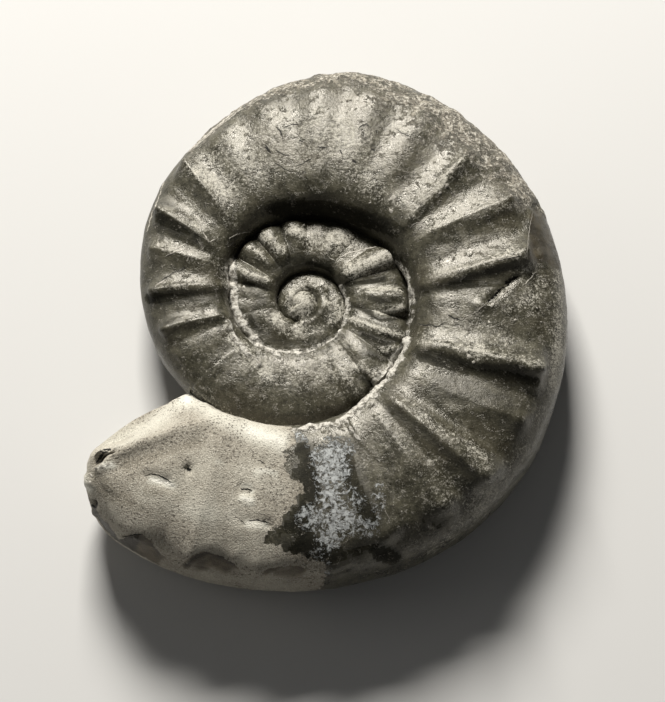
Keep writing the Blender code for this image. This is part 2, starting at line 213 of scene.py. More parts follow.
# Low relief on the upper side: path, half width in pixels, height in millimetres
RELIEF = (
    (201, 412, 181, 423, 168, 434, 143, 443, 118, 453, 103, 460, 4, 0.22),
    (197, 440, 180, 444, 160, 450, 136, 458, 116, 466, 9, -0.3),
    (97, 461, 101, 456, 106, 451, 112, 450, 4, -1), (86, 478, 90, 484, 5, 0.5),
    (98, 468, 112, 464, 4, 0.3), (92, 504, 85, 506, 4, -0.9), (88, 509, 94, 513, 4, 0.4),
    (142, 474, 156, 475, 168, 480, 3, -0.35), (150, 482, 162, 484, 172, 488, 5, -0.3),
    (187, 467, 190, 471, 3, -0.6), (240, 488, 250, 492, 4, -0.35), (244, 499, 252, 500, 4, 0.25),
    (249, 520, 260, 521, 271, 524, 3, -0.4), (236, 516, 245, 524, 2, -0.2),
    (254, 458, 265, 464, 2, -0.25), (208, 440, 206, 500, 212, 545, 9, 0.12),
    (226, 450, 224, 500, 228, 545, 8, -0.12), (240, 455, 246, 520, 256, 560, 10, 0.12),
    (434, 467, 446, 495, 451, 516, 7, 0.25), (396, 500, 400, 515, 396, 528, 7, 0.2),
    (452, 412, 490, 410, 519, 417, 7, 0.15), (405, 224, 432, 198, 461, 163, 6, 0.3),
    (470, 222, 505, 207, 6, 0.22), (425, 285, 470, 272, 521, 257, 6, 0.32),
    (536, 262, 541, 256, 7, 0.3),
    (420, 348, 445, 349, 458, 355, 472, 362, 505, 362, 538, 371, 6, 0.3),
    (394, 401, 410, 409, 430, 421, 450, 435, 480, 453, 497, 472, 8, 0.25),
    (162, 206, 185, 217, 205, 229, 8, 0.12), (150, 291, 180, 289, 225, 288, 5, 0.22),
    (160, 330, 175, 323, 225, 315, 5, 0.15), (345, 275, 366, 268, 388, 258, 9, 0.3),
    (367, 292, 400, 296, 6, 0.22), (372, 312, 400, 309, 5, 0.25),
    (351, 320, 378, 330, 404, 338, 5, 0.3), (381, 352, 392, 349, 404, 342, 4, 0.25),
    (360, 367, 374, 376, 388, 374, 6, 0.22), (339, 374, 352, 386, 363, 398, 8, 0.2),
    (266, 238, 282, 252, 8, 0.35), (288, 225, 304, 238, 8, 0.3), (256, 252, 269, 264, 5, 0.25),
    (244, 272, 266, 282, 6, 0.3), (299, 302, 300, 303, 13, 0.35),
    (321, 292, 324, 305, 318, 317, 303, 323, 5, 0.5), (290, 296, 286, 306, 291, 318, 4, 0.3),
    (330, 308, 334, 320, 8, 0.2), (277, 322, 282, 332, 8, 0.2),
    (488, 302, 500, 291, 508, 284, 518, 276, 2, -0.6), (478, 305, 486, 306, 496, 303, 5, 0.2),
    (508, 276, 516, 284, 512, 292, 4, 0.15), (533, 212, 528, 235, 527, 262, 4, 0.25),
    (535, 206, 538, 211, 4, -0.5), (452, 322, 478, 332, 486, 348, 12, 0.12),
)

# Dust and dark stains, and painted light and shade: lighter strokes are partly painted highlights
# and sheen on rib sides, the inner lobes, the top flank and the mouth's bevel; darker ones are
# partly painted shade below rib crests, under the umbilical wall, between the inner lobes and,
# black, in the hole at the mouth.
# Path, half width in pixels, strength
DUST_AND_PAINTED_LIGHT = (
    (345, 275, 366, 268, 392, 257, 11, 0.75), (350, 262, 372, 258, 8, 0.35),
    (370, 290, 398, 290, 5, 0.5), (378, 313, 402, 308, 4, 0.85),
    (351, 320, 378, 330, 404, 337, 5, 0.8), (381, 353, 404, 343, 3, 0.9),
    (360, 367, 376, 376, 388, 374, 5, 0.75), (300, 362, 350, 362, 15, 0.45),
    (339, 374, 363, 398, 8, 0.3), (266, 238, 282, 252, 8, 0.9), (290, 232, 298, 232, 7, 0.9),
    (310, 238, 340, 245, 11, 0.75), (335, 232, 352, 240, 8, 0.6), (256, 252, 269, 264, 5, 0.6),
    (244, 275, 266, 283, 6, 0.85), (298, 301, 301, 304, 13, 1.5), (300, 334, 320, 336, 8, 0.4),
    (292, 297, 296, 290, 306, 288, 314, 293, 3, 0.4),
    (376, 313, 390, 314, 400, 308, 403, 299, 3, 0.6), (372, 290, 384, 288, 398, 292, 4, 0.5),
    (400, 440, 470, 490, 30, 0.2), (430, 505, 480, 500, 16, 0.2), (450, 287, 500, 284, 6, -0.55),
    (440, 390, 515, 400, 13, -0.45), (415, 190, 445, 182, 9, -0.15),
    (532, 224, 540, 245, 546, 262, 8, -0.5), (100, 485, 120, 500, 10, -0.3),
    (300, 458, 301, 500, 6, 0.35), (292, 536, 310, 545, 8, 0.6), (434, 378, 505, 382, 6, -0.25),
    (558, 350, 548, 400, 528, 445, 500, 484, 470, 520, 430, 552, 9, 0.4),
    (166, 200, 152, 265, 162, 330, 24, -0.4), (556, 240, 562, 290, 560, 340, 556, 385, 8, 0.6),
    (240, 275, 262, 300, 250, 318, 10, -0.35), (320, 294, 322, 305, 317, 316, 306, 322, 2.5, -0.8),
    (294, 332, 320, 336, 335, 326, 4, -0.4), (244, 284, 270, 284, 3, -0.8),
    (268, 246, 290, 238, 287, 262, 2.5, -0.6), (349, 283, 372, 281, 383, 279, 4, -0.9),
    (372, 298, 384, 300, 4, -0.5), (352, 304, 380, 319, 403, 317, 4, -0.7),
    (362, 334, 384, 343, 400, 342, 4, -0.8), (360, 352, 384, 360, 398, 358, 5, -0.6),
    (362, 378, 372, 386, 384, 378, 5, -0.9), (322, 300, 340, 310, 334, 322, 8, 0.8),
    (277, 318, 282, 330, 300, 334, 9, 0.5), (262, 312, 280, 322, 7, 0.5),
    (318, 284, 334, 290, 343, 302, 4, 0.4), (300, 325, 325, 330, 8, 0.35),
    (226, 272, 230, 300, 8, 0.5), (232, 335, 250, 358, 268, 366, 6, 0.6),
    (240, 345, 255, 365, 270, 375, 7, 0.5), (270, 375, 320, 385, 345, 400, 16, 0.2),
    (212, 168, 250, 150, 290, 138, 340, 130, 30, 0.4), (355, 145, 372, 190, 28, 0.36),
    (230, 190, 260, 180, 12, 0.3), (415, 215, 440, 180, 9, 0.3), (395, 205, 412, 190, 10, 0.25),
    (196, 172, 224, 192, 9, 0.5), (155, 243, 168, 252, 6, 0.7),
    (162, 208, 176, 214, 192, 224, 203, 231, 2.5, 0.6), (176, 190, 190, 205, 198, 220, 8, 0.35),
    (244, 273, 266, 281, 5, 0.4), (168, 246, 195, 256, 6, 0.35), (162, 286, 184, 288, 5, 0.6),
    (470, 200, 500, 205, 10, 0.4), (440, 180, 462, 163, 7, 0.55), (436, 190, 448, 184, 5, 0.6),
    (436, 274, 480, 262, 516, 252, 8, 0.5), (500, 238, 512, 246, 8, 0.3),
    (508, 308, 530, 300, 545, 285, 9, 0.4), (450, 325, 480, 345, 478, 362, 9, 0.45),
    (487, 330, 508, 340, 9, 0.4), (468, 455, 494, 474, 5, 0.25),
    (420, 340, 450, 343, 470, 352, 6, 0.5), (480, 350, 520, 358, 540, 364, 6, 0.4),
    (425, 330, 440, 334, 8, 0.25), (407, 400, 427, 418, 6, 0.5), (440, 430, 458, 442, 6, 0.45),
    (468, 444, 484, 458, 6, 0.55), (434, 465, 446, 495, 450, 512, 8, 0.1),
    (322, 452, 342, 448, 8, 0.3), (302, 450, 310, 480, 300, 520, 310, 545, 14, -0.9),
    (345, 450, 352, 480, 372, 520, 14, -0.7), (330, 555, 370, 545, 392, 556, 10, -0.6),
    (390, 410, 420, 430, 450, 455, 478, 478, 7, -0.6), (425, 292, 470, 279, 514, 265, 5, -0.4),
    (526, 268, 542, 266, 6, 0.5), (420, 356, 455, 366, 505, 374, 536, 380, 7, -0.8),
    (422, 518, 442, 524, 7, -0.6), (382, 552, 395, 556, 8, -0.7), (503, 424, 530, 432, 7, -0.5),
    (162, 218, 180, 228, 198, 240, 7, -0.5), (192, 180, 200, 200, 214, 214, 7, -0.4),
    (150, 299, 185, 297, 222, 297, 5, -0.5), (270, 208, 310, 212, 352, 216, 385, 226, 9, -0.8),
    (272, 104, 300, 101, 335, 103, 362, 110, 9, -0.35), (520, 270, 550, 330, 16, 0.22),
    (215, 205, 235, 225, 8, 0.3), (208, 255, 228, 275, 8, 0.25), (200, 330, 228, 340, 8, 0.2),
    (275, 265, 300, 258, 328, 266, 343, 284, 8, -0.8), (285, 210, 330, 205, 390, 225, 14, -0.5),
    (395, 240, 415, 280, 420, 320, 9, -0.4), (290, 345, 330, 338, 5, -0.5),
    (250, 320, 262, 335, 280, 342, 7, -0.4), (295, 470, 312, 490, 12, -0.4),
    (280, 530, 305, 545, 330, 552, 12, -0.6), (190, 398, 240, 428, 280, 442, 12, 0.6),
    (182, 400, 150, 425, 110, 446, 10, 0.5), (250, 430, 285, 440, 290, 460, 10, 0.3),
    (200, 441, 170, 450, 130, 463, 9, -0.6), (98, 478, 106, 490, 120, 498, 11, -0.5),
    (118, 510, 140, 522, 14, 0.35), (175, 512, 225, 518, 22, 0.4),
    (96, 463, 101, 456, 110, 450, 3.5, -1.6), (84, 506, 93, 505, 3, -1.5),
    (124, 537, 142, 534, 2, -1.2), (120, 470, 130, 500, 170, 530, 24, -0.2),
    (160, 530, 230, 540, 300, 555, 14, -0.3), (148, 490, 164, 493, 180, 498, 5, -0.6),
    (130, 502, 148, 512, 5, -0.5), (151, 479, 162, 481, 172, 485, 4.5, 1.2),
    (243, 498, 251, 501, 4.5, 1.2), (248, 524, 267, 526, 4, 1), (100, 467, 112, 465, 4.5, 1.3),
    (86, 478, 90, 488, 5, 1.3), (242, 487, 250, 488, 253, 493, 2.5, 0.7),
    (217, 462, 226, 466, 2.5, 0.8), (256, 472, 268, 470, 276, 474, 3, 0.7),
    (272, 535, 262, 545, 280, 556, 8, 0.3), (245, 470, 280, 490, 14, 0.25),
    (228, 460, 222, 500, 226, 540, 6, -0.2),
)

# Thin lines: path, width in pixels, brightness
LIGHT_LINES = (
    (229, 239, 234, 236, 241, 233, 250, 232, 1.3, 0.7),
    (338, 259, 344, 255, 352, 252, 362, 250, 376, 247, 1.5, 1), (329, 257, 335, 261, 1.2, 0.6),
    (155, 287, 160, 283, 165, 280, 1.2, 0.7), (383, 497, 384, 508, 390, 520, 0.9, 0.3),
    (533, 212, 530, 225, 528, 240, 527, 262, 1.1, 0.25),
    (488, 301, 478, 311, 465, 317, 461, 321, 1, 0.6),
    (494, 304, 500, 298, 506, 292, 515, 285, 519, 280, 0.9, 0.5),
    (525, 284, 529, 280, 536, 272, 1.4, 0.8), (480, 252, 500, 260, 512, 257, 522, 255, 1, 0.8),
    (414, 236, 417, 229, 423, 226, 428, 229, 431, 225, 1, 0.35),
    (410, 228, 416, 223, 425, 222, 0.9, 0.4), (147, 232, 152, 214, 156, 205, 161, 191, 1.3, 0.7),
    (161, 190, 167, 176, 174, 166, 184, 154, 1.5, 0.8), (164, 178, 172, 168, 184, 156, 1.2, 0.5),
    (187, 153, 208, 134, 234, 112, 1.4, 0.8), (190, 152, 212, 132, 240, 110, 262, 98, 1.2, 0.55),
    (203, 232, 209, 242, 215, 240, 1.4, 0.7),
    (359, 133, 361, 128, 366, 127, 370, 131, 369, 136, 1.1, 0.45),
    (396, 131, 404, 136, 413, 140, 1.1, 0.6), (172, 251, 180, 247, 188, 242, 1.3, 0.9),
    (165, 257, 174, 252, 187, 249, 1.2, 0.8), (185, 249, 189, 256, 187, 262, 1, 0.6),
    (165, 277, 174, 273, 185, 268, 0.9, 0.35),
    (446, 377, 450, 382, 447, 388, 453, 392, 450, 398, 0.8, 0.35),
    (455, 378, 459, 384, 456, 390, 461, 394, 0.8, 0.3), (440, 300, 446, 297, 452, 300, 0.9, 0.5),
)
# Dark lines: cracks, and painted shadow under chip scars and in the hole and lip at the mouth:
# path, width in pixels
DARK_LINES = (
    (487, 302, 494, 297, 499, 290, 504, 287, 3), (504, 285, 507, 282, 512, 279, 518, 276, 3.6),
    (156, 286, 160, 282, 165, 278, 172, 274, 185, 267, 1.3),
    (358, 131, 360, 126, 366, 124, 371, 128, 1.3), (395, 128, 402, 133, 411, 137, 1.4),
    (265, 147, 268, 150, 271, 153, 2.4), (318, 146, 322, 148, 327, 147, 1.8),
    (299, 140, 303, 142, 1.6), (283, 128, 292, 124, 301, 125, 1),
    (296, 166, 304, 163, 312, 158, 1.2), (448, 315, 454, 318, 461, 320, 1.6),
    (417, 323, 424, 325, 431, 325, 438, 327, 445, 322, 1.4), (277, 128, 281, 132, 283, 139, 1.6),
    (265, 145, 268, 148, 270, 153, 1.4), (275, 150, 282, 154, 290, 156, 1.3),
    (275, 163, 283, 168, 292, 172, 1.2), (144, 476, 152, 474, 159, 475, 171, 482, 1.5),
    (241, 489, 247, 489, 252, 491, 1.6), (249, 520, 256, 520, 264, 521, 271, 524, 1.5),
    (235, 516, 240, 519, 246, 525, 0.9), (254, 458, 259, 460, 265, 464, 0.9),
    (187, 469, 191, 470, 4.2), (96, 463, 99, 459, 103, 453, 111, 450, 2.8),
    (100, 452, 107, 449, 111, 449, 2.2), (86, 506, 92, 505, 96, 508, 2.2),
    (123, 537, 133, 535, 143, 534, 1.6), (340, 150, 342, 154, 2), (352, 160, 356, 163, 2.4),
    (371, 149, 375, 151, 1.8),
)
# Light chips: middle and half size in pixels
CHIPS = (
    (393, 197, 3), (391, 211, 3.2), (370, 203, 2.2), (440, 193, 2.5), (447, 186, 3),
    (492, 305, 2.6), (489, 322, 1.6), (552, 293, 2), (537, 308, 1.6), (515, 320, 1.8),
    (91, 475, 2.8), (90, 482, 2.4), (101, 466, 3.6), (108, 464, 3), (96, 468, 2.4), (207, 175, 2.2),
    (213, 182, 2), (158, 245, 2.4), (163, 250, 2), (244, 287, 1.8), (469, 356, 2.6),
    (474, 362, 2.2), (460, 352, 1.8), (533, 274, 1.4), (541, 322, 1.2), (546, 276, 1.2),
    (528, 300, 1.2), (520, 288, 1.1), (549, 330, 1.3), (495, 340, 1.4), (304, 225, 1.4),
    (356, 182, 1.2), (331, 170, 1), (248, 176, 1.4), (236, 196, 1.3),
)
SCATTER_SEED = 7
LINE_SPACING = 1.6  # pixels between a line's points, and how far each may wander
LINE_WANDER = 0.45
LIGHT_LINE_LIFT = 0.06 * MM  # above the surface
DARK_LINE_LIFT = 0.03 * MM
CHIP_LIFT = 0.12 * MM
STROKE_REACH = 1.6  # where a stroke has faded out, in half widths
DULL_BELOW = -0.52  # dust and painted shade below this have a dull surface
SEEN_FACING = (0.02, 0.15)  # from edge on to seen: cosine between the normal and the camera
SHELL_FACING = 0.12  # and where the dark shell on the shoulder ends
SHARP_ANGLE = 70.0
FAR = 1e9
OUTSIDE = -3.0  # millimetres from an outline, for places where it doesn't count
# Growth angles between which the pixel outlines count, since the picture shows other whorls too
PALE_FROM = 250.0
SHELL_FROM = 300.0
BROWN_FROM = 150.0
# Coarse and fine relief of the whole surface: grain, octaves, seed, height
ROUGHNESS = ((4.0 * MM, 3, 1, 0.1 * MM), (1.0 * MM, 3, 2, 0.035 * MM))
# Refraction of the stone, and of its dull places under dark stains and painted shade
STONE_IOR = 1.65
DULL_IOR = 1.25
WARM_LIGHT = (1.0, 0.965, 0.91)


def through(values, step, start, at):
    """A smooth curve through evenly spaced values."""
    values = np.asarray(values, float)
    place = np.clip((np.asarray(at, float) - start) / step, 0.0, len(values) - 1.0)
    left = np.minimum(place.astype(int), len(values) - 2)
    part = place - left
    before = values[np.maximum(left - 1, 0)]
    here = values[left]
    after = values[left + 1]
    beyond = values[np.minimum(left + 2, len(values) - 1)]
    return here + 0.5 * part * (
        after - before
        + part * (2 * before - 5 * here + 4 * after - beyond)
        + part**2 * (3 * (here - after) + beyond - before)
    )


def smooth_step(low, high, at):
    part = np.clip((at - low) / (high - low), 0.0, 1.0)
    return part * part * (3.0 - 2.0 * part)


def seam_radius(growth):
    growth = np.asarray(growth, float)
    table = through(SEAM_RADII_MM, SEAM_STEP, SEAM_START, growth) * MM
    return table * EXPANSION ** (np.minimum(growth - SEAM_START, 0.0) / 360.0)


def venter_radius(growth):
    growth = np.asarray(growth, float)
    outer = through(VENTER_RADII_MM, VENTER_STEP, 0.0, growth) * MM
    inner = seam_radius(growth + 360.0) / SEAM_SHARE
    corner = np.clip((growth - CORNER_START) / (360.0 - CORNER_START), 0.0, 1.0)
    return np.where(growth >= 0.0, outer * (1.0 - CORNER_CUT * corner**2), inner)


def half_breadth(growth):
    return HALF_BREADTH + HALF_BREADTH_SHARE * venter_radius(growth)


def crest_radius(growth):
    seam = seam_radius(growth)
    return seam + FLANK_CREST * (venter_radius(growth) - seam)


def outer_height(growth, radius):
    """Height of the whorl's outer half above the middle plane, at a radius."""
    crest = crest_radius(growth)
    share = np.clip((radius - crest) / (venter_radius(growth) - crest), 0.0, 1.0)
    return half_breadth(growth) * (1.0 - share**EDGE_POWER) ** (1.0 / EDGE_POWER)


def seam_height(growth):
    return outer_height(growth - 360.0, seam_radius(growth))


def rib_relief(growth, share, side):
    """Rib height at a share of the whorl's height, as a share of that height."""
    late = smooth_step(*LATE_RIBS, growth) if side > 0 else 0.0
    usual_tip = float(np.interp(growth, *np.array(RIB_TIPS).T))
    tip_share = usual_tip + LATE_RIB_TIP * late
    relief = np.zeros(np.shape(share))
    for tip, ahead, strength in LAST_WHORL_RIBS if growth >= 0.0 else INNER_WHORL_RIBS:
        half = RIB_HALF_SPACING if growth >= 0.0 else INNER_RIB_HALF_SPACING
        off = (growth - tip - ahead * (1.0 - share / usual_tip)) / half
        off = np.clip(np.abs(off), 0.0, 1.0)
        if growth < 0.0:
            ridge = 1.0 - off**2
        elif strength < FAINT_RIB:
            ridge = (1.0 - off**2) ** 2
        else:
            ridge = (1.0 - off) ** RIB_SHARPNESS
        relief = np.maximum(relief, strength * ridge)
    grown = smooth_step(RIB_START, RIB_FULL, share)
    end_length = RIB_END_LENGTH * (1.0 - LATE_RIB_BLUNTNESS * late)
    ended = 1.0 - smooth_step(tip_share, tip_share + end_length, share)
    knob = 1.0 + KNOB_RISE * np.exp(-(((share - tip_share) / KNOB_WIDTH) ** 2))
    swell = 1.0 + LATE_RIB_RISE * late * smooth_step(RIB_FULL, tip_share, share)
    height = RIB_HEIGHT_SHARE if growth >= 0.0 else INNER_RIB_HEIGHT_SHARE
    return height * relief * grown * ended * knob * swell


def horn_length(growth, share, side):
    """How much further round the coil the mouth's broken edge reaches, in metres."""
    near = np.clip((growth - MOUTH_HORN_START) / (360.0 - MOUTH_HORN_START), 0.0, 1.0)
    horn = np.exp(-(((share - MOUTH_HORN_SHARE) / MOUTH_HORN_WIDTH) ** 2))
    swell = MOUTH_SWELL * np.sin(np.pi * np.clip(share, 0.0, 1.0))
    inward = smooth_step(1.0, 0.92, share)
    return MOUTH_HORN * near**2 * (horn + swell) * inward * (side > 0)


def break_drop(growth, share, side):
    """What is left of the whorl's height on the slanted break at the mouth."""
    length = BREAK_LENGTH * np.exp(-np.asarray(share) / BREAK_FADE)
    down = np.clip((growth - 360.0 + length) / length, 0.0, 1.0)
    deep = BREAK_DEPTH if side > 0 else BREAK_DEPTH_BELOW
    return 1.0 - deep * down**BREAK_POWER


def profile(growth, turns, rows):
    """Evenly spaced radii and heights from the seam to the outer edge's middle, without ribs."""
    seam, seam_up = float(seam_radius(growth)), float(seam_height(growth))
    crest, edge = float(crest_radius(growth)), float(venter_radius(growth))
    high = float(half_breadth(growth))
    turn = 0.5 * math.pi * np.linspace(1.0, 0.0, PROFILE_POINTS) ** 1.5
    wall_out = crest - (crest - seam) * np.sin(turn) ** (2.0 / WALL_POWER)
    wall_up = seam_up + (high - seam_up) * np.cos(turn) ** (2.0 / WALL_POWER)
    turn = turn[::-1][1:]
    edge_out = crest + (edge - crest) * np.sin(turn) ** (2.0 / EDGE_POWER)
    edge_up = high * np.clip(np.cos(turn), 0.0, 1.0) ** (2.0 / EDGE_POWER)
    radii, heights = np.append(wall_out, edge_out), np.append(wall_up, edge_up)
    length = np.append(0.0, np.cumsum(np.hypot(np.diff(radii), np.diff(heights))))
    if turns:
        last = float(seam_radius(growth + 360.0))
    else:
        start_crest = float(crest_radius(0.0))
        part = (seam_radius(360.0) - start_crest) / (venter_radius(0.0) - start_crest)
        last = crest + (edge - crest) * float(part)
    flank_end = float(np.interp(last, edge_out, length[PROFILE_POINTS:]))
    places = np.linspace(0.0, flank_end, rows + 1)
    if not turns:
        places = np.append(places, np.linspace(flank_end, length[-1], VENTER_ROWS // 2 + 1)[1:])
    return np.interp(places, length, radii), np.interp(places, length, heights)


def coil_rows(radii, bearing, heights, *places):
    """Rows of x, y and z, and each vertex's growth angle, share of the height and rib relief."""
    columns = (radii * np.cos(bearing), radii * np.sin(bearing), heights, *places)
    return np.column_stack([np.broadcast_to(column, len(radii)) for column in columns])


def whorl_points(growth, turns, side):
    """Rows of one flank at a growth angle."""
    rows = (UPPER_ROWS if side > 0 else LOWER_ROWS)[turns]
    radii, heights = profile(growth, turns, rows)
    seam, edge = float(seam_radius(growth)), float(venter_radius(growth))
    along_r, along_z = np.gradient(radii), np.gradient(heights)
    length = np.hypot(along_r, along_z)
    share = (radii - seam) / (edge - seam)
    ribs = rib_relief(growth, share, side)
    ribs[0] = 0.0
    radii = radii - along_z / length * ribs * (edge - seam)
    heights = heights + along_r / length * ribs * (edge - seam)
    heights = heights * break_drop(growth, share, side)
    bearing = math.radians(BEARING_AT_START - growth) - horn_length(growth, share, side) / radii
    return coil_rows(radii, bearing, side * heights, growth, share, ribs)


def step_points(top, low):
    """Rows down the edge of the inner whorl where the mouth meets it, between two seams."""
    crest, edge, high = (float(f(0.0)) for f in (crest_radius, venter_radius, half_breadth))
    bearing = math.radians(BEARING_AT_START)
    heights = np.linspace(top, low, VENTER_ROWS + 1)[1:-1]
    out = (1.0 - (np.abs(heights) / high) ** EDGE_POWER) ** (1.0 / EDGE_POWER)
    return coil_rows(crest + (edge - crest) * out, bearing, heights, 0.0, 1.0, 0.0)


def stitch(first, second):
    """Faces between two lines of vertices that run the same way and may share their ends."""
    if len(first) == len(second):
        quads = np.column_stack((first[:-1], first[1:], second[1:], second[:-1]))
        return [tuple(dict.fromkeys(quad)) for quad in quads.tolist()]
    faces = []
    i = j = 0
    while i < len(first) - 1 or j < len(second) - 1:
        ahead = (i + 1) / max(len(first) - 1, 1)
        behind = (j + 1) / max(len(second) - 1, 1)
        if j == len(second) - 1 or (i < len(first) - 1 and ahead <= behind):
            corners = (first[i], first[i + 1], second[j])
            i += 1
        else:
            corners = (first[i], second[j + 1], second[j])
            j += 1
        if len(set(corners)) == 3:
            faces.append(tuple(int(c) for c in corners))
    return faces


class Coil:
    """Vertices with their places on the coil, and the faces between them."""

    def __init__(self):
        self.blocks = []
        self.count = 0
        self.faces = []

    def add(self, points):
        self.blocks.append(points)
        indices = np.arange(self.count, self.count + len(points))
        self.count += len(points)
        return indices

    def rows(self):
        return np.concatenate(self.blocks)


def coil_columns(coil):
    step = 360.0 / STEPS_PER_TURN
    inside = round(TURNS_INSIDE * STEPS_PER_TURN)
    growths = [step * k for k in range(-inside, STEPS_PER_TURN + 1)]
    turns_of = [0 if g >= 0.0 else math.ceil(-g / 360.0 - 1e-9) for g in growths]
    sections = [
        (whorl_points(g, t, 1), whorl_points(g, t, -1)) for g, t in zip(growths, turns_of)
    ]
    seams = coil.add(np.concatenate([np.stack((top[0], low[0])) for top, low in sections]))
    columns = []
    for k, (turns, (top, low)) in enumerate(zip(turns_of, sections)):
        outside = k + STEPS_PER_TURN < len(growths)
        up_rows, low_rows = UPPER_ROWS[turns], LOWER_ROWS[turns]
        if turns or outside:
            next_seam = k + STEPS_PER_TURN
            ends = seams[[2 * next_seam, 2 * next_seam + 1]]
        else:
            ends = coil.add(np.stack((top[up_rows], low[low_rows])))
        upper = np.concatenate((seams[[2 * k]], coil.add(top[1:up_rows]), ends[:1]))
        lower = np.concatenate((seams[[2 * k + 1]], coil.add(low[1:low_rows]), ends[1:]))
        venter = np.empty(0, int)
        if not turns:
            middle = np.concatenate((top[up_rows + 1 :], low[low_rows + 1 : -1][::-1]))
            if outside:
                mouth_top, mouth_low = sections[-1]
                middle = step_points(mouth_top[0][2], mouth_low[0][2])
            venter = coil.add(middle)
        columns.append((turns, upper, lower, venter))
    return columns


def whole_column(column):
    _, upper, lower, venter = column
    return np.concatenate((upper, venter, lower[::-1]))


def close_heart(coil, columns, which):
    """A dome inside the innermost turn."""
    ring = np.array([column[which][0] for column in columns[: STEPS_PER_TURN + 1]])
    rim = np.concatenate((ring, columns[0][which][1:-1][::-1]))
    rows = coil.rows()
    edge = rows[rim]
    middle = edge[:STEPS_PER_TURN].mean(axis=0)
    middle[2] = math.copysign(HEART_HEIGHT, middle[2])
    lines = [rim]
    for row in range(1, HEART_ROWS):
        share = row / HEART_ROWS
        line = edge + (middle - edge) * share
        round_share = math.sqrt(1.0 - (1.0 - share) ** 2)
        line[:, 2] = edge[:, 2] + (middle[2] - edge[:, 2]) * round_share
        line[:, 3:] = (middle[3], 0.0, 0.0)
        lines.append(coil.add(line))
    centre = middle.copy()
    centre[4:] = 0.0
    tip = int(coil.add(centre[None, :])[0])
    for outer, inner in zip(lines, lines[1:]):
        coil.faces += stitch(np.append(outer, outer[0]), np.append(inner, inner[0]))
    last = lines[-1].tolist()
    coil.faces += [(a, b, tip) for a, b in zip(last, last[1:] + last[:1])]


def close_mouth(coil, columns):
    """The broken face between the end of the last whorl and the edge of the whorl inside it."""
    rim = whole_column(columns[-1])
    start = columns[-1 - STEPS_PER_TURN]
    inner = np.concatenate((start[1][-1:], start[3], start[2][-1:]))
    rows = coil.rows()
    bearing = math.radians(MOUTH_BEARING)
    forward = np.array((math.sin(bearing), -math.cos(bearing)))
    along = np.linspace(0.0, 1.0, len(rim))
    place = along * (len(inner) - 1)
    left = np.minimum(place.astype(int), len(inner) - 2)
    part = (place - left)[:, None]
    low = rows[inner[left]] * (1.0 - part) + rows[inner[left + 1]] * part
    lines = [rim]
    for row in range(1, MOUTH_ROWS):
        share = row / MOUTH_ROWS
        line = rows[rim] * (1.0 - share) + low * share
        swell = math.sin(math.pi * share) * np.sin(math.pi * along)
        line[:, :2] += np.outer(swell * MOUTH_BULGE, forward)
        line[:, 3:] = (360.0, 0.5, 0.0)
        new = coil.add(line[1:-1])
        lines.append(np.concatenate((rim[:1], new, rim[-1:])))
    lines.append(inner)
    for outer_line, inner_line in zip(lines, lines[1:]):
        coil.faces += stitch(outer_line, inner_line)


def lean_and_lift(points):
    """Leans the coil to its rest and wears its lowest parts down to the floor plane."""
    bearing, lean = math.radians(LEAN_BEARING), math.radians(LEAN)
    raised = np.array((math.cos(bearing), math.sin(bearing)))
    level = points[:, :2] @ raised
    height = points[:, 2] * math.cos(lean) + level * math.sin(lean)
    moved = level * math.cos(lean) - points[:, 2] * math.sin(lean)
    points[:, :2] += np.outer(moved - level, raised) + np.array(COIL_CENTRE)
    points[:, 2] = height - height.min() - FLAT_DEPTH
    return points


def seam_distance(rows):
    """Distance to the nearest seam, with that seam's growth angle."""
    radius = np.hypot(rows[:, 0], rows[:, 1])
    best, best_growth = np.full(len(rows), 1.0), np.zeros(len(rows))
    for turn in (0.0, 360.0):
        growth = rows[:, 3] + turn
        off = np.hypot(radius - seam_radius(growth), np.abs(rows[:, 2]) - seam_height(growth))
        near = (off < best) & (growth <= 360.0)
        best, best_growth = np.where(near, off, best), np.where(near, growth, best_growth)
    return best, best_growth


def photo_pixels(points):
    """The picture's pixel at which the camera sees each point."""
    away = points - CAMERA_PLACE
    scale = PIXELS_PER_METRE * CAMERA_DISTANCE / (away @ CAMERA_AHEAD)
    across = away[:, 0] * scale
    upward = away @ CAMERA_UPWARD * scale
    return np.column_stack((0.5 * PHOTO_SIZE[0] + across, 0.5 * PHOTO_SIZE[1] - upward))


def pixel_ray(x, y):
    """Direction from the camera through a pixel."""
    across = (x - 0.5 * PHOTO_SIZE[0]) * PIXEL / CAMERA_DISTANCE
    upward = (0.5 * PHOTO_SIZE[1] - y) * PIXEL / CAMERA_DISTANCE
    return Vector(CAMERA_AHEAD + upward * CAMERA_UPWARD + (across, 0.0, 0.0)).normalized()


def path_points(path):
    """A path's points, which the tables give as x and y in turn."""
    return np.reshape(path, (-1, 2)).astype(float)


def path_distance(pixels, path):
    """Distance of each pixel place to an open path."""
    points = path_points(path)
    best = np.full(len(pixels), FAR)
    for start, end in zip(points, points[1:]):
        run = end - start
        off = pixels - start
        part = np.clip(off @ run / max(run @ run, 1e-9), 0.0, 1.0)
        best = np.minimum(best, np.hypot(*(off - np.outer(part, run)).T))
    return best


def outline_distance(pixels, outline):
    """Distance to a closed outline, positive inside it."""
    closed = (*outline, outline[0])
    inside = np.zeros(len(pixels), bool)
    x, y = pixels.T
    for (x0, y0), (x1, y1) in zip(closed, closed[1:]):
        if y0 != y1:
            crosses = (y0 > y) != (y1 > y)
            inside ^= crosses & (x < (x1 - x0) * (y - y0) / (y1 - y0) + x0)
    return path_distance(pixels, closed) * np.where(inside, 1.0, -1.0)


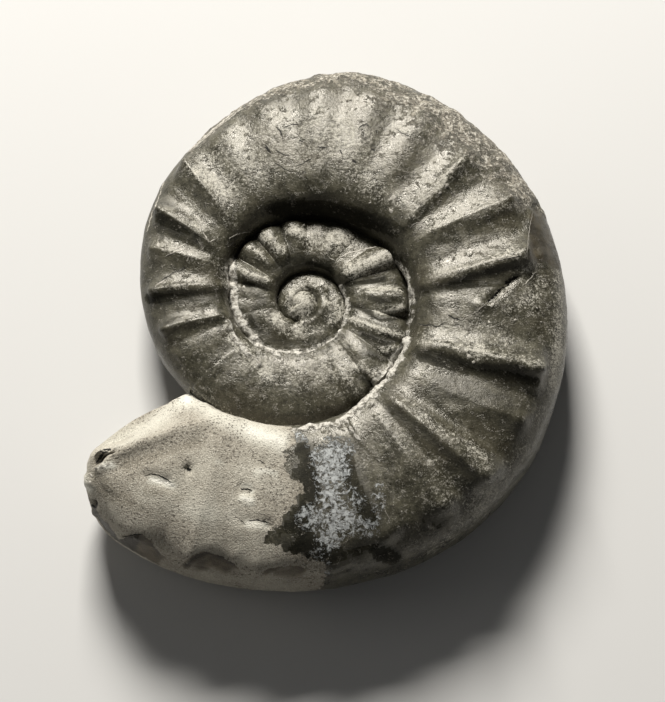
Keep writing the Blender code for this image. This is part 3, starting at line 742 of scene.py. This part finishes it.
def strokes(pixels, seen, paths):
    """Sum of soft strokes, each a path with a half width and a strength."""
    total = np.zeros(len(pixels))
    for *path, width, strength in paths:
        reach = STROKE_REACH * width
        near = np.clip(1.0 - path_distance(pixels, path) / reach, 0.0, 1.0)
        total += strength * near * near * (3.0 - 2.0 * near)
    return total * seen


def coherent(points, size, octaves, seed):
    """Fractal noise of about -1 to 1 whose largest grains have this size in metres."""
    shift = Vector((seed * 3.1, seed * 7.7, seed * 1.3))
    return np.array(
        [noise.fractal(Vector(p) / size + shift, 1.0, 2.0, octaves) for p in points.tolist()]
    )


def surface_masks(rows, points, normals):
    """Where each kind of surface lies. Distances are in millimetres, the rest from 0 to 1."""
    growth, share, ribs = rows[:, 3:].T
    pixels = photo_pixels(points)
    to_camera = CAMERA_PLACE - points
    to_camera /= np.linalg.norm(to_camera, axis=1)[:, None]
    facing = np.einsum("ij,ij->i", normals, to_camera)
    seen = smooth_step(*SEEN_FACING, facing)
    radius = np.hypot(rows[:, 0], rows[:, 1])

    by_pixel = outline_distance(pixels, PALE_OUTLINE) * PIXEL / MM
    # Away from the picture, edges wander a few millimetres off a growth angle
    wander = coherent(points, 5.0 * MM, 4, 5)
    by_growth = np.radians(growth - PALE_GROWTH) * radius / MM + 2.5 * wander
    pale = np.where(seen > 0.5, by_pixel, by_growth)
    pale = np.where(growth < PALE_FROM, OUTSIDE, pale)
    shell_path = path_distance(pixels, SHELL_EDGE) * PIXEL / MM
    edge_x, edge_y = np.array(SHELL_EDGE, float).T
    below = pixels[:, 1] > np.interp(pixels[:, 0], edge_x, edge_y)
    shell = np.where(below, shell_path, -shell_path)
    shell = np.where((growth > SHELL_FROM) & (share > 0.6), shell, OUTSIDE)
    # The shell ends where the surface turns away from the camera
    shell = np.minimum(shell, (facing - SHELL_FACING) * 12.0 + 1.2 * wander)
    # Painted shade on the shell from the strokes, at half strength where the surface faces away
    # from the camera
    shade = np.clip(strokes(pixels, 1.0, SHELL_SHADE), 0.0, 1.0)
    shade = np.where(facing > 0.0, shade, 0.5)

    white = np.zeros(len(points))
    for x, y, wide, high, amount in WHITE_PATCHES:
        off = np.hypot((pixels[:, 0] - x) / wide, (pixels[:, 1] - y) / high)
        white = np.maximum(white, amount * (1.0 - smooth_step(0.5, 1.5, off)))
    white *= seen * (growth > PALE_FROM)

    crust_growth, crust_reach = np.array(CRUST_REACH).T
    reach = np.interp(growth, crust_growth, crust_reach)
    ends = smooth_step(0.0, 12.0, growth - crust_growth[0] + 6.0 * wander)
    ends = ends * smooth_step(0.0, 10.0, crust_growth[-1] - growth + 6.0 * wander)
    crust = ends * smooth_step(1.0 - reach - 0.1, 1.0 - reach * 0.4, share + 0.03 * wander)
    crust *= 0.78 + 0.45 * np.clip(coherent(points, 2.6 * MM, 4, 6), -1.0, 0.5)

    seam_off, seam_growth = seam_distance(rows)
    vein_growth, vein_width = np.array(LOWER_VEIN).T
    below = np.interp(seam_growth, vein_growth, vein_width) - seam_off / MM
    vein = np.full(len(points), -1.0)
    for *path, half_width in VEINS:
        vein = np.maximum(vein, (half_width - path_distance(pixels, path)) * PIXEL / MM)
    vein = np.where(seen > 0.5, vein, below)

    brown = outline_distance(pixels, BROWN_PATCH) * PIXEL / MM
    here = (seen > 0.5) & (growth > BROWN_FROM) & (growth < PALE_FROM)
    brown = np.where(here, brown, OUTSIDE)
    crust *= 1.0 - smooth_step(-0.2, 0.1, brown)

    # Dust and dark stains, with painted highlights and painted shade, from the strokes
    dust_and_painted_light = strokes(pixels, seen, DUST_AND_PAINTED_LIGHT)
    # Rib crests a little lighter: wear on the crests, with a painted highlight
    crest = np.where(growth >= 0.0, ribs / RIB_HEIGHT_SHARE, 0.5 * ribs / INNER_RIB_HEIGHT_SHARE)
    dust_and_painted_light = dust_and_painted_light + 0.15 * smooth_step(0.55, 1.4, crest) * (growth < LATE_RIBS[0])
    return {
        "pale": np.clip(pale, OUTSIDE, -OUTSIDE),
        "shell": np.clip(shell, OUTSIDE, -OUTSIDE),
        "shade": shade,
        "white": white,
        "crust": crust,
        "vein": np.clip(vein, -1.0, 1.0),
        "dust_and_painted_light": np.clip(dust_and_painted_light, -1.0, 1.0),
        "brown": np.clip(brown, OUTSIDE, -OUTSIDE),
    }, pixels, seen


def fine_relief(points, masks, pixels, seen):
    """Height added along the normals, in metres."""
    pale = smooth_step(-0.2, 0.2, masks["pale"])
    relief = strokes(pixels, seen, RELIEF) * MM
    for size, octaves, seed, height in ROUGHNESS:
        relief += height * coherent(points, size, octaves, seed)
    rough = coherent(points, 1.5 * MM, 4, 3)
    relief += masks["crust"] * (0.12 + 0.28 * rough) * MM
    bead = coherent(points, 0.7 * MM, 2, 4)
    inside = smooth_step(-0.15, 0.35, masks["vein"])
    relief += inside * (0.38 + 0.22 * bead) * MM
    under_shell = smooth_step(-0.35, 0.25, masks["shell"]) * pale
    return relief - 0.12 * MM * under_shell


def read_all(items, what, size, kind):
    values = np.empty(len(items) * size, kind)
    items.foreach_get(what, values)
    return values


def add_layer(data, name, values):
    layer = data.attributes.new(name, "FLOAT", "POINT")
    layer.data.foreach_set("value", np.asarray(values, np.float32))


def linked(name, data):
    """A new object in the scene."""
    thing = bpy.data.objects.new(name, data)
    bpy.context.scene.collection.objects.link(thing)
    return thing


def stone_mesh():
    coil = Coil()
    columns = coil_columns(coil)
    for here, ahead in zip(columns, columns[1:]):
        if here[0]:
            coil.faces += stitch(here[1], ahead[1])
            coil.faces += stitch(here[2][::-1], ahead[2][::-1])
        else:
            coil.faces += stitch(whole_column(here), whole_column(ahead))
    close_heart(coil, columns, 1)
    close_heart(coil, columns, 2)
    close_mouth(coil, columns)
    rows = coil.rows()
    points = lean_and_lift(rows[:, :3].copy())

    data = bpy.data.meshes.new("ammonite_stone")
    data.from_pydata(points.tolist(), [], coil.faces)
    mesh = bmesh.new()
    mesh.from_mesh(data)
    bmesh.ops.recalc_face_normals(mesh, faces=mesh.faces)
    mesh.to_mesh(data)
    mesh.free()

    normals = read_all(data.vertex_normals, "vector", 3, np.float32)
    normals = normals.reshape(-1, 3).astype(float)
    masks, pixels, seen = surface_masks(rows, points, normals)
    points += normals * fine_relief(points, masks, pixels, seen)[:, None]
    low, high = np.array(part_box("ammonite"))
    points = np.clip(points, low, high)
    data.vertices.foreach_set("co", points.astype(np.float32).ravel())
    for name, values in masks.items():
        add_layer(data, name, values)
    dull = masks["dust_and_painted_light"] < DULL_BELOW
    corners = read_all(data.loops, "vertex_index", 1, np.int32)
    starts = read_all(data.polygons, "loop_start", 1, np.int32)
    data.polygons.foreach_set("material_index", dull[corners[starts]].astype(np.int32))
    data.update()
    data.shade_smooth()
    data.set_sharp_from_angle(angle=math.radians(SHARP_ANGLE))
    return data


# Materials


class Nodes:
    """Short calls for making and linking a material's nodes."""

    def __init__(self, name):
        self.material = bpy.data.materials.new(name)
        self.material.use_nodes = True
        self.tree = self.material.node_tree
        self.shader = self.tree.nodes["Principled BSDF"]
        self.place = self.add("TexCoord", {})["Object"]

    def link(self, value, socket):
        if isinstance(value, bpy.types.NodeSocket):
            self.tree.links.new(value, socket)
        elif isinstance(value, tuple):
            socket.default_value = (*value, 1.0) if len(value) == 3 else value
        else:
            socket.default_value = value

    def add(self, kind, inputs, **settings):
        """The outputs of a new node."""
        node = self.tree.nodes.new("ShaderNode" + kind)
        for name, value in settings.items():
            setattr(node, name, value)
        for name, value in inputs.items():
            self.link(value, node.inputs[name])
        return node.outputs

    def attribute(self, name):
        return self.add("Attribute", {}, attribute_name=name)["Fac"]

    def noise(self, size, detail=4.0, roughness=0.55, distortion=0.0):
        return self.add("TexNoise", {
            "Vector": self.place, "Scale": 1.0 / size, "Detail": detail, "Roughness": roughness,
            "Distortion": distortion,
        })["Fac"]

    def math(self, operation, first, second=0.0, third=0.0):
        return self.add("Math", {0: first, 1: second, 2: third}, operation=operation)[0]

    def ramp(self, value, low, high, to_low=0.0, to_high=1.0):
        return self.add("MapRange", {
            "Value": value, "From Min": low, "From Max": high, "To Min": to_low,
            "To Max": to_high,
        }, interpolation_type="SMOOTHSTEP")["Result"]

    def swing(self, value, to_low, to_high):
        """A noise's usual range, stretched to another."""
        return self.ramp(value, 0.3, 0.7, to_low, to_high)

    def cover(self, base, over, value, low, high, most=1.0):
        """The base colour, with another over it where a value passes from low to high."""
        return self.mix(self.ramp(value, low, high, 0.0, most), base, over)

    def mix(self, share, first, second):
        if isinstance(first, tuple) or getattr(first, "type", "") == "RGBA":
            return self.add("Mix", {0: share, 6: first, 7: second}, data_type="RGBA")[2]
        return self.add("Mix", {0: share, 2: first, 3: second}, data_type="FLOAT")[0]

    def bump(self, height):
        bumped = self.add("Bump", {"Strength": 1.0, "Distance": 1.0, "Height": height})
        self.link(bumped["Normal"], self.shader.inputs["Normal"])


def stone_material(name, ior):
    n = Nodes(name)
    grain = n.noise(0.4 * MM, 5.0, 0.6)
    speck = n.noise(0.17 * MM, 3.0, 0.65)
    pit = n.noise(0.3 * MM, 2.0, 0.5)
    mottle = n.noise(1.6 * MM, 6.0, 0.62)
    cloud = n.noise(6.0 * MM, 4.0, 0.5)
    flake = n.noise(0.9 * MM, 6.0, 0.62)
    crystal = n.noise(0.55 * MM, 8.0, 0.75, 0.6)
    dust_and_light_in = n.attribute("dust_and_painted_light")
    grit = n.swing(speck, -0.5, 0.5)

    # Dark shell and stone
    dark = n.mix(n.ramp(mottle, 0.35, 0.7), (0.025, 0.0235, 0.015), (0.074, 0.069, 0.046))
    dark = n.cover(dark, (0.055, 0.047, 0.029), cloud, 0.45, 0.7, 0.5)
    dark = n.cover(dark, (0.01, 0.01, 0.006), grain, 0.48, 0.32, 0.55)
    dark = n.cover(dark, (0.18, 0.17, 0.13), speck, 0.5, 0.66, 0.35)
    # Dark stains and painted shade, from low dust values, darken the stone nearly to black; dust
    # and painted highlights and sheen, from high values, lighten it
    stained_and_shaded = n.ramp(dust_and_light_in, -1.0, 0.0, 0.8, 0.0)
    dark = n.mix(stained_and_shaded, dark, (0.006, 0.006, 0.0045))
    broken = n.math("MULTIPLY_ADD", grit, 0.6, n.swing(grain, -0.42, 0.34))
    dust_and_highlight = n.ramp(n.math("ADD", dust_and_light_in, broken), 0.25, 1.1, 0.0, 0.9)
    dust_and_highlight_colour = n.mix(n.ramp(speck, 0.38, 0.6), (0.27, 0.257, 0.213), (0.52, 0.5, 0.433))
    dark = n.mix(dust_and_highlight, dark, dust_and_highlight_colour)

    crusty = n.math("ADD", n.attribute("crust"), n.swing(flake, -0.6, 0.45))
    crusty = n.ramp(n.math("MULTIPLY_ADD", grit, 0.4, crusty), 0.2, 0.75, 0.0, 0.9)
    crust_colour = n.mix(n.ramp(mottle, 0.3, 0.65), (0.12, 0.11, 0.088), (0.29, 0.265, 0.215))
    crust_colour = n.cover(crust_colour, (0.52, 0.495, 0.43), grain, 0.48, 0.6)
    crust_colour = n.cover(crust_colour, (0.03, 0.026, 0.02), pit, 0.5, 0.38, 0.85)
    dark = n.mix(crusty, dark, crust_colour)

    brown_edge = n.math("ADD", n.attribute("brown"), n.swing(flake, -0.12, 0.12))
    brown = n.ramp(brown_edge, -0.06, 0.06)
    brown_colour = n.mix(n.ramp(mottle, 0.35, 0.7), (0.018, 0.0145, 0.008), (0.046, 0.037, 0.02))
    dark = n.mix(brown, dark, brown_colour)

    vein = n.math("MULTIPLY_ADD", grit, 0.12, n.attribute("vein"))
    vein = n.ramp(n.math("ADD", vein, n.swing(flake, -0.22, 0.18)), -0.08, 0.12)
    vein_colour = n.mix(n.ramp(grain, 0.36, 0.56), (0.2, 0.185, 0.155), (0.62, 0.6, 0.54))
    dark = n.mix(vein, dark, vein_colour)

    white_in = n.attribute("white")
    white = n.math("ADD", white_in, n.swing(crystal, -0.9, 0.9))
    white = n.math("ADD", white, n.ramp(white_in, 0.0, 0.2, -1.2, 0.0))
    white = n.ramp(n.math("MULTIPLY_ADD", grit, 0.5, white), 0.4, 0.85)
    white_colour = n.mix(n.ramp(grain, 0.35, 0.6), (0.2, 0.21, 0.21), (0.42, 0.44, 0.44))
    dark = n.mix(white, dark, white_colour)

    # Pale stone
    sand = n.mix(n.ramp(cloud, 0.35, 0.65), (0.37, 0.34, 0.28), (0.46, 0.435, 0.365))
    sand = n.cover(sand, (0.27, 0.245, 0.2), mottle, 0.65, 0.3, 0.5)
    # Dust and painted highlights lighten the pale stone; dark stains and painted shade darken it,
    # down to black in the hole at the mouth
    sand = n.cover(sand, (0.68, 0.665, 0.58), dust_and_light_in, 0.0, 0.8, 0.85)
    sand = n.mix(n.ramp(dust_and_light_in, -0.7, 0.0, 0.65, 0.0), sand, (0.21, 0.19, 0.15))
    pits = n.math("ADD", pit, n.ramp(cloud, 0.35, 0.65, -0.06, 0.06))
    pitted = n.ramp(pits, 0.38, 0.31)
    fine = n.ramp(speck, 0.44, 0.34, 0.0, 0.65)
    holes = n.math("MAXIMUM", n.math("MULTIPLY", pitted, 0.85), fine)
    sand = n.mix(holes, sand, (0.1, 0.088, 0.07))
    sand = n.cover(sand, (0.74, 0.71, 0.62), speck, 0.55, 0.66, 0.6)
    sand = n.cover(sand, (0.82, 0.8, 0.72), dust_and_light_in, 0.65, 1.0, 0.85)
    sand = n.mix(n.ramp(dust_and_light_in, -1.0, -0.75, 0.92, 0.0), sand, (0.012, 0.01, 0.008))
    pale_edge = n.math("ADD", n.attribute("pale"), n.swing(flake, -0.35, 0.35))
    pale = n.ramp(pale_edge, -0.06, 0.06)
    shell_edge = n.math("ADD", n.attribute("shell"), n.swing(flake, -0.15, 0.15))
    shell = n.math("MULTIPLY", n.ramp(shell_edge, -0.05, 0.12), pale)
    shade = n.attribute("shade")
    # Painted shade: the shell's colour shows where the painted shade lies, and darkens with it
    shell = n.math("MULTIPLY", shell, n.ramp(shade, 0.0, 0.45, 0.12, 1.0))
    shell_colour = n.mix(n.ramp(mottle, 0.35, 0.7), (0.075, 0.06, 0.04), (0.17, 0.14, 0.095))
    shell_colour = n.cover(shell_colour, (0.022, 0.018, 0.012), shade, 0.45, 1.0)

    colour = n.mix(pale, dark, sand)
    colour = n.mix(shell, colour, shell_colour)
    n.link(colour, n.shader.inputs["Base Color"])

    rough = n.swing(mottle, 0.25, 0.37)
    rough = n.mix(dust_and_highlight, rough, 0.7)
    rough = n.mix(stained_and_shaded, rough, 0.8)
    rough = n.mix(n.math("MAXIMUM", n.math("MAXIMUM", crusty, vein), white), rough, 0.8)
    rough = n.mix(pale, rough, 0.92)
    rough = n.mix(shell, rough, 0.5)
    n.link(rough, n.shader.inputs["Roughness"])
    n.shader.inputs["IOR"].default_value = ior
    n.shader.inputs["Specular Tint"].default_value = (1.0, 0.965, 0.88, 1.0)

    height = n.math("MULTIPLY", grain, 0.065 * MM)
    height = n.math("MULTIPLY_ADD", speck, 0.04 * MM, height)
    rougher = n.math("MAXIMUM", pale, n.math("MAXIMUM", crusty, vein))
    sandy = n.math("MULTIPLY", n.math("MULTIPLY", speck, 0.15 * MM), rougher)
    height = n.math("ADD", height, sandy)
    height = n.math("MULTIPLY_ADD", n.math("MULTIPLY", grain, pale), 0.06 * MM, height)
    height = n.math("MULTIPLY_ADD", n.math("MULTIPLY", pitted, pale), -0.05 * MM, height)
    height = n.math("MULTIPLY_ADD", white, 0.05 * MM, height)
    height = n.math("MULTIPLY_ADD", flake, 0.014 * MM, height)
    n.bump(height)
    return n.material


def calcite_material():
    n = Nodes("ammonite_calcite")
    flake = n.noise(0.4 * MM, 5.0, 0.6)
    bright = n.mix(n.ramp(flake, 0.3, 0.65), (0.26, 0.24, 0.2), (0.62, 0.59, 0.52))
    colour = n.mix(n.attribute("tone"), (0.09, 0.083, 0.068), bright)
    n.link(colour, n.shader.inputs["Base Color"])
    n.shader.inputs["Roughness"].default_value = 0.65
    n.bump(n.math("MULTIPLY", flake, 0.06 * MM))
    return n.material


def crack_and_shadow_material():
    n = Nodes("ammonite_crack_and_shadow")
    soil = n.noise(0.3 * MM, 3.0)
    # Near black, for cracks and for painted shadow in hollows and under chips
    colour = n.mix(n.ramp(soil, 0.4, 0.7), (0.004, 0.004, 0.003), (0.02, 0.017, 0.013))
    n.link(colour, n.shader.inputs["Base Color"])
    n.shader.inputs["Roughness"].default_value = 0.9
    n.bump(n.math("MULTIPLY", soil, 0.05 * MM))
    return n.material


# Thin lines and chips, laid on the finished surface


def on_surface(tree, x, y, lift):
    """The point that the camera sees at a pixel, raised from the surface."""
    origin = Vector(CAMERA_PLACE)
    place, normal, _, _ = tree.ray_cast(origin, pixel_ray(x, y))
    if place is None:
        return None
    if normal.dot(origin - place) < 0.0:
        normal = -normal
    return place + normal * lift


def smooth_path(path, spacing, wander, chance):
    """Points close together along a path, with a little wandering."""
    points = path_points(path)
    steps = np.hypot(*np.diff(points, axis=0).T)
    length = np.append(0.0, np.cumsum(steps))
    count = max(3, int(length[-1] / spacing) + 1)
    at = np.linspace(0.0, length[-1], count)
    x, y = np.interp(at, length, points[:, 0]), np.interp(at, length, points[:, 1])
    for k in range(1, count - 1):
        x[k] += chance.uniform(-wander, wander)
        y[k] += chance.uniform(-wander, wander)
    return np.column_stack((x, y))


def lay_ribbon(tree, path, width, lift, chance, points, faces):
    line = smooth_path(path, LINE_SPACING, LINE_WANDER, chance)
    run = np.gradient(line, axis=0)
    run /= np.maximum(np.hypot(*run.T), 1e-9)[:, None]
    across = np.column_stack((-run[:, 1], run[:, 0]))
    before = None
    for k, (middle, side) in enumerate(zip(line, across)):
        taper = math.sin(math.pi * (k + 0.6) / (len(line) + 0.2)) ** 0.5
        half = 0.5 * width * taper * chance.uniform(0.55, 1.2)
        spots = [
            on_surface(tree, *(middle - side * half), 0.2 * lift),
            on_surface(tree, *middle, lift),
            on_surface(tree, *(middle + side * half), 0.2 * lift),
        ]
        if any(spot is None for spot in spots):
            before = None
            continue
        here = [len(points) + j for j in range(3)]
        points += spots
        if before:
            faces += [
                (before[0], before[1], here[1], here[0]),
                (before[1], before[2], here[2], here[1]),
            ]
        before = here


def lay_chip(tree, middle, size, lift, chance, points, faces):
    corners = chance.randint(5, 8)
    turn = chance.uniform(0.0, 2.0 * math.pi)
    squash = chance.uniform(0.45, 0.9)
    lean = chance.uniform(0.0, math.pi)
    spots = [on_surface(tree, *middle, lift)]
    for k in range(corners):
        angle = turn + 2.0 * math.pi * k / corners
        reach = size * chance.uniform(0.6, 1.1)
        x, y = reach * math.cos(angle), squash * reach * math.sin(angle)
        place = (
            middle[0] + x * math.cos(lean) - y * math.sin(lean),
            middle[1] + x * math.sin(lean) + y * math.cos(lean),
        )
        spots.append(on_surface(tree, *place, 0.1 * lift))
    if any(spot is None for spot in spots):
        return
    first = len(points)
    points += spots
    faces += [
        (first, first + 1 + k, first + 1 + (k + 1) % corners) for k in range(corners)
    ]


def finished_piece(name, points, faces, material):
    data = bpy.data.meshes.new(name)
    data.from_pydata([tuple(p) for p in points], [], faces)
    data.shade_smooth()
    data.materials.append(material)
    piece = linked(name, data)
    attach(piece, "root")
    return piece


def lay_lines_and_chips(stone):
    tree = BVHTree.FromObject(stone, bpy.context.evaluated_depsgraph_get())
    chance = random.Random(SCATTER_SEED)
    points, faces, tones = [], [], []
    for *path, width, tone in LIGHT_LINES:
        lay_ribbon(tree, path, width, LIGHT_LINE_LIFT, chance, points, faces)
        tones += [tone] * (len(points) - len(tones))
    for x, y, size in CHIPS:
        lay_chip(tree, (x, y), size, CHIP_LIFT, chance, points, faces)
        tones += [chance.uniform(0.5, 1.0)] * (len(points) - len(tones))
    lines = finished_piece("calcite_lines", points, faces, calcite_material())
    add_layer(lines.data, "tone", tones)
    points, faces = [], []
    for *path, width in DARK_LINES:
        lay_ribbon(tree, path, width, DARK_LINE_LIFT, chance, points, faces)
    finished_piece("cracks_and_painted_shadows", points, faces, crack_and_shadow_material())


# The stage


def floor_and_lights():
    bpy.ops.mesh.primitive_plane_add(size=2.0, location=(0.0, 0.0, 0.0))
    floor = bpy.context.object
    floor.name = "floor"
    n = Nodes("floor")
    n.shader.inputs["Base Color"].default_value = (0.62, 0.62, 0.61, 1.0)
    n.shader.inputs["Roughness"].default_value = 0.9
    floor.data.materials.append(n.material)

    # Directions in degrees, distances and sizes in metres, power in watts
    for name, bearing, elevation, distance, size, power in (
        ("key", 100.0, 39.0, 0.55, 0.18, 6.0),
        ("fill", -80.0, 60.0, 0.9, 0.6, 0.12),
        ("side", 175.0, 35.0, 0.8, 0.4, 0.3),
    ):
        lamp = bpy.data.lights.new(name, "AREA")
        lamp.size = size
        lamp.energy = power
        lamp.color = WARM_LIGHT
        light = linked(name, lamp)
        flat, up = math.radians(bearing), math.radians(elevation)
        way = Vector((math.cos(flat) * math.cos(up), math.sin(flat) * math.cos(up), math.sin(up)))
        light.location = way * distance
        light.rotation_euler = way.to_track_quat("Z", "Y").to_euler()

    world = bpy.data.worlds.new("studio")
    bpy.context.scene.world = world
    world.use_nodes = True
    sky = world.node_tree.nodes["Background"]
    sky.inputs["Color"].default_value = (1.0, 1.0, 1.0, 1.0)
    sky.inputs["Strength"].default_value = 0.06


def place_camera():
    lens = bpy.data.cameras.new("camera")
    lens.sensor_fit = "HORIZONTAL"
    lens.sensor_width = 36.0
    lens.lens = lens.sensor_width * CAMERA_DISTANCE / (PHOTO_SIZE[0] * PIXEL)
    lens.clip_start = 0.01
    camera = linked("camera", lens)
    camera.location = CAMERA_PLACE
    camera.rotation_euler = (math.radians(90.0 - CAMERA_ELEVATION), 0.0, 0.0)
    bpy.context.scene.camera = camera
    bpy.context.scene.view_settings.view_transform = "Standard"


def main():
    data = stone_mesh()
    data.materials.append(stone_material("ammonite_stone", STONE_IOR))
    data.materials.append(stone_material("ammonite_dull_stone", DULL_IOR))
    stone = linked("ammonite_stone", data)
    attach(stone, "root")
    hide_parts("ammonite")
    lay_lines_and_chips(stone)
    floor_and_lights()
    place_camera()


main()
